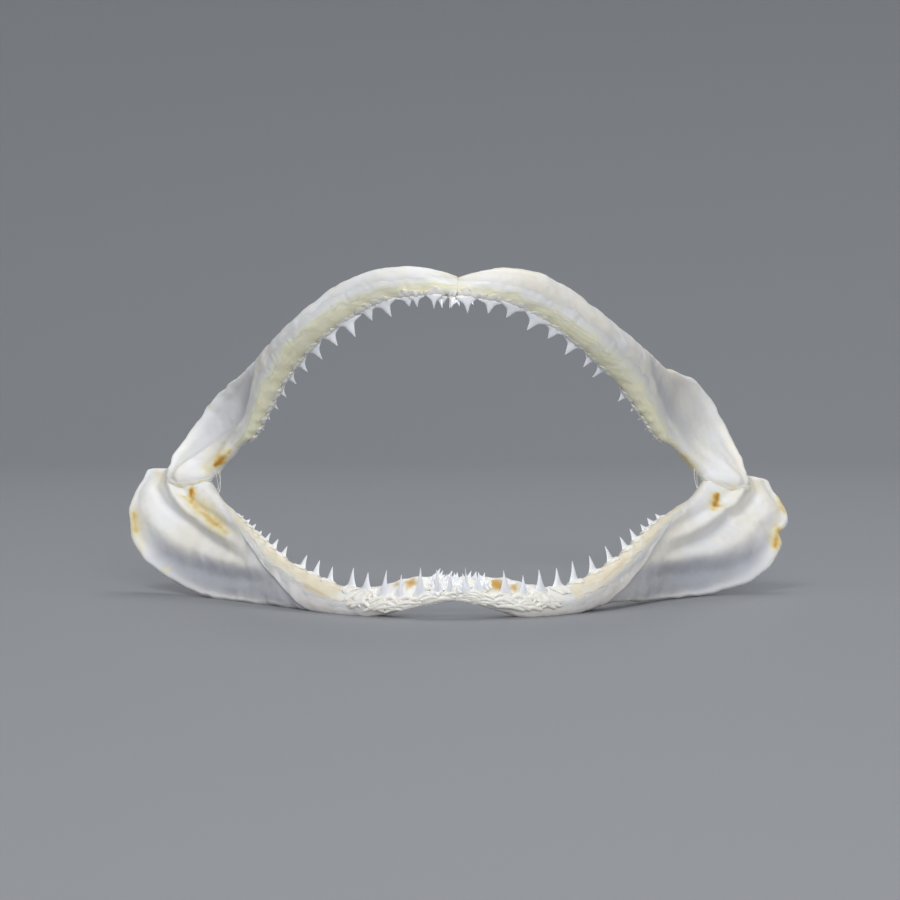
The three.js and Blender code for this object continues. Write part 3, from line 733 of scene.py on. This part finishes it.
def root_plates(jaw, side, run_at, spans, height, rough, rng, rows=30, cols=36):
    """Thin scallops draped over the gum's edge: run = run_at + half span * (1 - u^3.4)^0.5 cos,
    arc = seat + height u, thickness 0.5 (1 - u^3), for u from -0.3 to 1, all a bit uneven."""
    u, turn = np.linspace(-0.3, 1, rows)[None, :, None], circle(cols)
    above = np.clip(u, 0, 1)
    half = spans[:, None, None] / 2 * np.sqrt(1 - above ** 3.4) + 0.05
    run = run_at[:, None, None] + half * np.cos(turn)
    jag = 0.1 * np.sin(run * 1.6 + rng.uniform(0, 6, (len(run_at), 1, 1))) + 0.05 * np.sin(run * 4.3)
    arc = seat_at(jaw, run_at)[:, None, None] + height[:, None, None] * u * (1 + rough * jag)
    lumps = 1 + 0.35 * rough * np.sin(run * 2.7 + 1.5 * u)
    grow = 0.45 + 0.62 * step(u, -0.1, 0.8) + 0.5 * (1 - above ** 3) * np.sin(turn) * lumps
    return gum_at(sections_at(jaw, side, np.maximum(run, 0.3)), arc, grow)


# %% [markdown]
# ## Setting the teeth
# Each crown gets its place from the table and a little chance in its lean and twist. The upper
# ones in front start lower, out on the gum's face, while their tips stay in place, so that their
# feet run into the roots.

# %% Crowns and roots of a quarter
FRONT_RUN, REAR_RUN = 27, 22  # arches lie on the lower front up to the first, plates from the second
LAYERS, CRUMBS = 6, 26  # arches under each lower front tooth, and small bits between them


def upper_row(jaw, side, run, clear, rng):
    """Sections, bases, directions, how much lower than their seat the crowns start, (spans,
    waists), (foot, hem) and roots of the upper crowns."""
    here, base, up = stand(jaw, side, run, 0.5, -0.3)
    spans = np.minimum(np.minimum(np.gradient(run) * 1.4, 11.0), 1.7 * clear + 3.0)
    ahead = 1 - step(run, 36, 58)
    tip = base + up * clear[:, None]
    arc = seat_at(jaw, run) + ahead * np.minimum(1.2 + 0.25 * np.sin(run * 2.9), 0.5 * clear)
    base = gum_at(here, arc, 0.3 + 0.8 * ahead)
    lift = np.linalg.norm(tip - base, axis=1) - clear
    roots = root_plates(jaw, side, np.append(run, 0.9), np.append(spans * 0.9, 3.4),
                        np.append(2.7 - 0.9 * run / run.max(), 2.0), 1.0, rng)
    foot = (((0.28 * clear + lift) / (clear + lift))[:, None, None], 2.2)
    spans = spans * (0.66 + 0.34 * step(run, 6, 14))
    waists = np.full(len(run), 0.42)
    return here, base, unit(tip - base), lift, (spans, waists), (foot, 0.75), [roots]


def lower_row(jaw, side, run, clear, rng):
    """The same for the lower crowns, which start at their seat."""
    here, base, up = stand(jaw, side, run, 0.25, 0.2)
    t = run / run.max()
    spans, waists = np.minimum(np.gradient(run) * 0.85, 5.6), 0.5 + 0.14 * step(t, 0.2, 0.6)
    front, rear = np.repeat(run[run < FRONT_RUN], LAYERS), run >= REAR_RUN
    layer = np.arange(len(front)) % LAYERS
    front = np.maximum(front + (layer % 2 - 0.5) * 2.6 + rng.normal(0, 0.5, len(front)), 1)
    arches = root_rings(jaw, side, front, seat_at(jaw, front) + 0.1 + 0.58 * layer, 0.7, rng,
                        (4.4, 6.8), (0.8, 1.9), (0.5, 0.85))
    crumbs = root_rings(jaw, side, rng.uniform(0.8, 8.5, CRUMBS), rng.uniform(-1.2, 2.4, CRUMBS),
                        0.75, rng, (1.6, 3.4), (0.3, 1.2), (0.4, 0.7))
    plates = root_plates(jaw, side, run[rear], spans[rear] * 1.1, 2.9 - 0.6 * t[rear], 0.8, rng)
    return here, base, up, 0 * clear, (spans, waists), SPIKE, [plates, arches, crumbs]


def teeth_of(jaw_name, jaw, side, rng):
    """All crowns and roots of one quarter of the mouth, with how much of each point is enamel."""
    run, clear = (np.array(x) for x in ROWS[jaw_name, side])
    row = upper_row if jaw is UPPER else lower_row
    here, base, up, lift, sizes, foot_and_hem, roots = row(jaw, side, run, clear, rng)
    rings, h = crown_rings(clear + lift, *sizes, rng.normal(0, 0.04, len(run)), *foot_and_hem)
    lower = (lift / clear)[:, None, None]
    along = here["along"] + here["out"] * rng.normal(0, 0.07, len(run))[:, None]
    along = unit(along - up * (along * up).sum(axis=1, keepdims=True))
    out = np.cross(along, up)
    out = out * np.sign((out * here["out"]).sum(axis=1, keepdims=True))
    enamel = step(h * (1 + lower) - lower, -0.05 - 0.35 * (jaw is UPPER), 0.12)
    return place(rings, base, along, out, up), enamel, roots


for jaw_name, jaw, side_name, side in QUARTERS:
    crowns, enamel, roots = teeth_of(jaw_name, jaw, side, np.random.default_rng(51 + side))
    made = make_piece(f"{jaw_name}_teeth_on_{side_name}", [crowns, *roots],
                      {"enamel": [enamel] + [np.zeros(part.shape[:3]) for part in roots]})
    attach(made, "root")
    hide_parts(f"{jaw_name}_teeth_{side_name}")

# %% [markdown]
# ## The crowd of small teeth at the midline
# Where the halves meet, small spikes, a third of the size, stand close and point every way. A
# fixed seed scatters them over a short stretch of the margin.

# %% Midline teeth
def midline_teeth(name, jaw, count, spread, sizes, arcs, seed):
    """Small spikes at random distances from the midline, each leaning its own way."""
    rng = np.random.default_rng(seed)
    x = rng.permutation(np.linspace(-spread, spread, count)) + rng.normal(0, 0.35, count)
    near = np.linspace(0, 2, 200)
    here = sections(jaw, 1, np.interp(np.abs(x), -margin(jaw, "tooth", -1, near)[:, 0], near))
    base = gum_at(here, rng.uniform(*arcs, count), 0.6)
    flip = np.stack([np.where(x < 0, -1, 1), x * 0 + 1, x * 0 + 1], axis=1)
    base, along, up = (a * flip for a in (base, here["along"], -here["across"]))
    up = unit(unit(up * np.array([1, 0.3, 1])) + rng.normal(0, 0.42, (count, 3)))
    along = unit(along - up * np.einsum("ij,ij->i", along, up)[:, None])
    heights = rng.uniform(*sizes, count) * (1 + 0.5 * (np.arange(count) % 9 == 0))
    rings, h = crown_rings(heights, heights * 0.95, np.full(count, 0.6), rng.normal(0, 0.1, count),
                           *SPIKE, rows=20, cols=14)
    spikes = place(rings, base, along, np.cross(along, up), up)
    made = make_piece(name, [spikes], {"enamel": [step(h, -0.05, 0.12)]})
    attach(made, "root")


midline_teeth("upper_midline_teeth", UPPER, 9, 5.2, (2.0, 3.2), (-1.4, -0.6), 61)
midline_teeth("lower_midline_teeth", LOWER, 72, 7.6, (1.1, 3.1), (-1.6, 3.2), 64)

# %% [markdown]
# ## The skin of ligament round the joint
# At each corner the ligament that tied the plates together has dried into a tight, wrinkled
# sleeve, which follows the end of the upper plate. The loose threads across the corner of the
# mouth are thin tubes that sag a little.

# %% Sleeves and threads
def sleeve(side, rows=90, cols=96):
    """Rings along the upper plate's end: out = off cos(u), along = reach sin(u), wrinkled."""
    end = sections(UPPER, side, np.array([UPPER["end"]]))
    share = np.linspace(0.0, 1.0, rows)[:, None]
    full = (np.clip(1 - np.abs(2 * share - 1) ** 4, 0.0, 1)) ** 0.5 + 0.04
    centre = end["tooth"] + end["across"] * (share * end["width"]) + end["along"] * (2.6 * full)
    off = (end["half"][0, 1] - 0.9) * full * np.cos(circle(cols))
    reach = 1.9 * full * np.sin(circle(cols))

    def points(fold):
        return (centre[:, None] + end["out"] * (off * fold)[..., None]
                + end["along"] * (reach * fold)[..., None] + np.array([0, SET_BACK, 0]))
    return points(1 + 0.04 * ripple(points(1), 5.0, seed=71))


def threads(side, pairs, rows=20, cols=8):
    """Tubes from a to b with radius r, bent sideways by bow sin(pi t), for each (a, b, r, bow)."""
    t = np.linspace(0, 1, rows)[:, None]
    turn = circle(cols)[:, None]
    made = []
    for a, b, radius, bow in pairs:
        a, b = (np.array(p) * np.array([side, 1, 1]) for p in (a, b))
        line = a + (b - a) * t + np.array([side, 0.4, 0]) * bow * np.sin(np.pi * t)
        one = unit(np.cross(unit(b - a), [0, 1, 0.3]))
        two = np.cross(unit(b - a), one)
        thin = (radius * (1 + 0.9 * (2 * t - 1) ** 4))[..., None]
        made.append(line[:, None] + thin * (np.cos(turn) * one + np.sin(turn) * two))
    return np.stack(made)


THREADS = {
    "right": [((73.2, 37.6, 37.2), (72.6, 35.6, 31.0), 0.1, -0.5),
              ((74.0, 38.0, 37.0), (72.8, 35.6, 30.0), 0.07, -0.2),
              ((72.6, 37.0, 37.8), (73.4, 36.4, 31.6), 0.06, -0.6)],
    "left": [((72.8, 38.0, 38.0), (73.6, 36.8, 32.0), 0.1, -0.3),
             ((73.8, 38.6, 37.4), (73.9, 37.2, 31.4), 0.07, -0.2)],
}
for side_name, side in SIDES.items():
    made = make_piece(f"dried_capsule_{side_name}",
                      [sleeve(side)[None], threads(side, THREADS[side_name])])
    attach(made, "root")
    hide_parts(f"joint_capsule_{side_name}")

# %% [markdown]
# ## Finishes
# Each finish is a Principled shader. A helper adds and wires nodes in one line, so that a finish
# reads like a recipe: what it measures, and how that turns into colour, gloss and bumps.

# %% A helper for wiring nodes
class Finish:
    """A material with one Principled shader, and short words for the nodes that feed it."""

    def __init__(self, name, **sockets):
        """The named sockets of the shader hold plain numbers."""
        self.material = bpy.data.materials.new(name)
        self.material.use_nodes = True
        self.tree = self.material.node_tree
        self.sockets = self.tree.nodes["Principled BSDF"].inputs
        for socket, value in sockets.items():
            self.sockets[socket.replace("_", " ")].default_value = value

    def feed(self, socket, value):
        """Wires a value into the shader."""
        self.tree.links.new(value, self.sockets[socket])

    def node(self, kind, inputs=(), **settings):
        """Adds a node, sets its settings, and wires or fills its inputs by place or name."""
        made = self.tree.nodes.new("ShaderNode" + kind)
        for key, value in settings.items():
            setattr(made, key, value)
        for key, value in dict(inputs).items():
            if isinstance(value, bpy.types.NodeSocket):
                self.tree.links.new(value, made.inputs[key])
            else:
                made.inputs[key].default_value = value
        return made

    def stored(self, label):
        """The number stored on the mesh's points under that label."""
        return self.node("Attribute", attribute_name=label).outputs["Fac"]

    def maths(self, operation, *values):
        """The result of one operation on one or two numbers."""
        return self.node("Math", enumerate(values), operation=operation).outputs[0]

    def spread(self, value, low, high, to_low=0.0, to_high=1.0):
        """A value from low..high turned into to_low..to_high, with eased ends."""
        return self.node("MapRange", {0: value, 1: low, 2: high, 3: to_low, 4: to_high},
                         interpolation_type="SMOOTHSTEP").outputs[0]

    def blend(self, share, a, b):
        """Colour a turning into colour b as share goes from 0 to 1."""
        return self.node("Mix", {0: share, 6: a, 7: b}, data_type="RGBA").outputs[2]

    def tint(self, colour, value, low, high, most, new):
        """The colour, blended with the new one from 0 to most as value goes from low to high."""
        return self.blend(self.spread(value, low, high, 0, most), colour, new)

    def grain(self, scale, detail=3.0, roughness=0.5, stretch=None):
        """Noise over the object's own metres; scale is bumps per metre."""
        at = self.node("TexCoord").outputs["Object"]
        if stretch:
            at = self.node("Mapping", {0: at, 3: stretch}).outputs[0]
        inputs = {"Vector": at, "Scale": scale, "Detail": detail, "Roughness": roughness}
        return self.node("TexNoise", inputs).outputs["Fac"]

    def gloss(self, scale, low, high):
        """Roughness that wanders from low to high in patches."""
        self.feed("Roughness", self.spread(self.grain(scale), 0.3, 0.7, low, high))

    def bumps(self, height, strength, distance):
        """Feeds a height into the shader's normal; distance is the real height of a full step."""
        self.feed("Normal", self.node("Bump", {"Height": height, "Strength": strength,
                                               "Distance": distance}).outputs[0])


# %% [markdown]
# ## Cartilage
# Dried, bleached cartilage is ivory white and a little translucent, creamy on the crests, with a
# satin surface of tiny tiles of lime. Shade is painted into its colour: bluish grey in the hollows,
# slate grey where the lower plate turns under and behind the upper tooth bar, warm grey on the
# lower plate's front.

# %% The cartilage finish
IVORY, MILK, PAINTED_HOLLOW_SHADE = (0.86, 0.83, 0.75, 1), (0.87, 0.87, 0.87, 1), (0.60, 0.61, 0.64, 1)
PAINTED_UNDER_SHADE, PAINTED_FRONT_SHADE = (0.43, 0.44, 0.485, 1), (0.78, 0.73, 0.70, 1)
STRAW, HONEY, BURNT = (0.80, 0.71, 0.42, 1), (0.68, 0.45, 0.12, 1), (0.50, 0.20, 0.015, 1)

ivory = Finish("dried_cartilage", Subsurface_Weight=0.22, Subsurface_Scale=0.004, IOR=1.45,
               Specular_IOR_Level=0.4, Subsurface_Radius=(1.0, 0.75, 0.55))
mottle = ivory.spread(ivory.grain(260, 4), 0.3, 0.7, 0.8, 1.12)
amber = ivory.maths("MULTIPLY", ivory.stored("amber"), mottle)
colour = MILK
for value, low, high, most, new in (
        # painted shade: relief below zero tints the hollows bluish grey
        (ivory.grain(55, 4), 0.38, 0.62, 1, IVORY), (ivory.stored("relief"), -0.1, -1.6, 0.45, PAINTED_HOLLOW_SHADE),
        # painted shade: the stored shade tints the plate slate grey where it lies in shade
        (ivory.stored("thin"), 0, 1, 0.95, PAINTED_UNDER_SHADE), (ivory.stored("relief"), 0.5, 1.9, 0.5, IVORY),
        # painted shade: the lower plate's front band is tinted warm grey
        (ivory.stored("front"), 0, 1, 0.6, PAINTED_FRONT_SHADE), (ivory.stored("yellow"), 0.05, 0.9, 0.8, STRAW),
        (amber, 0.05, 0.6, 0.85, STRAW), (amber, 0.35, 0.85, 0.95, HONEY),
        (amber, 0.65, 1.05, 0.9, BURNT)):
    colour = ivory.tint(colour, value, low, high, most, new)
ivory.feed("Base Color", colour)
ivory.gloss(240, 0.38, 0.56)
own_metres = ivory.node("TexCoord").outputs["Object"]
tiles = ivory.node("TexVoronoi", {"Vector": own_metres, "Scale": 1500.0},
                   feature="DISTANCE_TO_EDGE").outputs["Distance"]
height = ivory.maths("ADD", ivory.spread(tiles, 0.0, 0.12, 0, 0.02), ivory.grain(420, 4))
ivory.bumps(height, 0.35, 0.00012)

# %% [markdown]
# ## Gum
# The gum dried to a waxy yellow, paler where it thins and where the roots show through, with an
# olive line between its layers. The stored share of its width places these bands.

# %% The gum finishes
CHALK, BORDER, OLD_FAT = (0.93, 0.92, 0.88, 1), (0.88, 0.87, 0.83, 1), (0.58, 0.34, 0.07, 1)


def gum_finish(name, body, pale, line, line_at, line_share):
    """A waxy band, pale at both borders, with a broken darker line, at most line_share strong,
    that wanders round the share line_at of its width, and with amber stains."""
    wax = Finish(name, Subsurface_Weight=0.2, Subsurface_Scale=0.003, IOR=1.47,
                 Subsurface_Radius=(1.0, 0.7, 0.35))
    wander = wax.maths("ADD", wax.spread(wax.grain(90, 2), 0.2, 0.8, -0.2, 0.2), wax.stored("down"))
    from_line = wax.maths("ABSOLUTE", wax.maths("SUBTRACT", wander, line_at))
    broken = wax.spread(wax.grain(90), 0.42, 0.6, 0, line_share)
    colour = wax.tint(pale, wander, -0.4, 0.1, 1, body)
    colour = wax.tint(colour, wander, 0.25, 0.85, 1, BORDER)
    colour = wax.blend(wax.maths("MULTIPLY", wax.spread(from_line, 0.045, 0.0), broken), colour, line)
    colour = wax.tint(colour, wax.stored("root"), 0.2, 0.9, 0.9, CHALK)
    colour = wax.tint(colour, wax.grain(220), 0.45, 0.75, 0.4, pale)
    wax.feed("Base Color", wax.tint(colour, wax.stored("amber"), 0.15, 0.95, 1, OLD_FAT))
    wax.gloss(400, 0.28, 0.5)
    wax.bumps(wax.grain(650, 4), 0.4, 0.0002)
    return wax


upper_wax = gum_finish("waxy_upper_gum", (0.98, 0.93, 0.66, 1), (0.96, 0.94, 0.84, 1),
                       (0.60, 0.55, 0.30, 1), 0.5, 0.4)
lower_wax = gum_finish("waxy_lower_gum", (0.83, 0.73, 0.55, 1), (0.86, 0.83, 0.74, 1),
                       (0.60, 0.44, 0.20, 1), 0.66, 0.7)

# %% [markdown]
# ## Enamel and root
# Crowns are glassy, white with a blue cast. Roots are chalky. One stored number runs from 0 on
# the root to 1 on the enamel, and everything turns on it.

# %% The tooth finish
glass = Finish("enamel_and_root", Subsurface_Weight=0.15, Subsurface_Scale=0.0012, IOR=1.55,
               Subsurface_Radius=(0.8, 0.9, 1.0))
enamel = glass.stored("enamel")
root_colour = glass.tint(CHALK, glass.grain(900), 0.35, 0.65, 1, (0.89, 0.86, 0.76, 1))
glass.feed("Base Color", glass.blend(enamel, root_colour, (0.94, 0.96, 1.0, 1)))
glass.feed("Roughness", glass.spread(enamel, 0, 1, 0.5, 0.16))
glass.bumps(glass.grain(1400, 3, 0.5, (1, 1, 0.3)), 0.25, 0.0001)

# %% [markdown]
# ## Ligament
# The sleeve round the joint is translucent cream turning to straw in patches.

# %% The ligament finish
sinew = Finish("dried_ligament", Subsurface_Weight=0.3, Subsurface_Scale=0.003, IOR=1.45,
               Subsurface_Radius=(1.0, 0.75, 0.4))
CREAM, OLD_STRAW = (0.82, 0.79, 0.70, 1), (0.70, 0.62, 0.42, 1)
sinew.feed("Base Color", sinew.tint(CREAM, sinew.grain(160, 4), 0.45, 0.7, 1, OLD_STRAW))
sinew.gloss(500, 0.3, 0.5)
sinew.bumps(sinew.grain(700, 5, 0.6), 0.6, 0.0003)

# %% [markdown]
# ## Laying the finishes on the pieces
# Each piece is of one material, and the first word of the list that its name holds picks it. The
# empty word, which every name holds, comes last.

# %% One finish to each piece
FINISHES = {"cartilage": ivory, "upper_gum": upper_wax, "lower_gum": lower_wax, "teeth": glass,
            "": sinew}
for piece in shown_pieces():
    finish = next(finish.material for word, finish in FINISHES.items() if word in piece.name)
    piece.data.materials.clear()
    piece.data.materials.append(finish)
    print(piece.name, "->", finish.name)

# %% [markdown]
# ## Floor and light
# The jaws stand on a plain grey floor that curves up far behind them, so that no edge shows. A
# key lamp above, in front and to the left gives shape, a broad strong one at mouth height reaches
# into the mouth, a weaker one lights the back, and a pale sky lifts the shadows.

# %% The studio
def floor_bowl(flat=1.3, round_off=1.5, rings=48, around=96):
    """A disc at z = 0 out to the flat radius, then a quarter circle up: r = flat + R sin(u),
    z = R (1 - cos(u)), so that no line shows where the floor ends."""
    u = np.concatenate([np.zeros(2), np.linspace(0, np.pi / 2, rings)])
    r = np.concatenate([[0.02, 0.6], flat + round_off * np.sin(u[2:])])[:, None]
    z = round_off * (1 - np.cos(u))[:, None]
    turn = circle(around)
    points = np.stack([r * np.cos(turn), r * np.sin(turn), z + 0 * turn], -1)
    quads, fans = ring_faces(len(r), around)
    mesh = bpy.data.meshes.new("floor")
    mesh.from_pydata(np.vstack([points.reshape(-1, 3), [[0, 0, 0]]]), [],
                     quads.tolist() + fans[:around].tolist())
    mesh.shade_smooth()
    return add_object("floor", mesh)


floor = floor_bowl()
grey = Finish("pale_floor", Roughness=0.7, Base_Color=(0.28, 0.29, 0.31, 1))
floor.data.materials.append(grey.material)

world = bpy.data.worlds.new("studio")
world.use_nodes = True
world.node_tree.nodes["Background"].inputs["Color"].default_value = (0.92, 0.95, 1.0, 1)
world.node_tree.nodes["Background"].inputs["Strength"].default_value = 0.40
bpy.context.scene.world = world
bpy.context.scene.view_settings.view_transform = "Standard"

AIM = Vector((0, 0, 0.04))
for name, place_at, size, power in (("key", (-0.6, -1.4, 1.9), 0.8, 13),
                                    ("front", (0.2, -2.2, 0.5), 1.0, 40),
                                    ("back", (0.3, 1.3, 1.9), 1.2, 14)):
    lamp = bpy.data.lights.new(name, "AREA")
    lamp.size, lamp.energy = size, power
    softbox = add_object(name, lamp)
    softbox.location = place_at
    softbox.rotation_euler = (AIM - Vector(place_at)).to_track_quat("-Z", "Y").to_euler()

# %% [markdown]
# ## The camera
# It looks straight into the mouth through a long lens from just above the floor. Standing far off
# keeps the near front and the far corners of the jaws in true proportion.

# %% Lens and place
DISTANCE, TILT = 0.8, np.radians(1.5)
TARGET = Vector((-0.0021, 0.0038, 0.0446))
camera_data = bpy.data.cameras.new("camera")
camera_data.lens, camera_data.sensor_width = 108.8, 36.0
camera_data.clip_start, camera_data.clip_end = 0.01, 100.0
camera = add_object("camera", camera_data)
look = Vector((0, np.cos(TILT), -np.sin(TILT)))
camera.location = TARGET - DISTANCE * look
camera.rotation_euler = look.to_track_quat("-Z", "Y").to_euler()
bpy.context.scene.camera = camera
print("camera at", [round(x, 4) for x in camera.location])
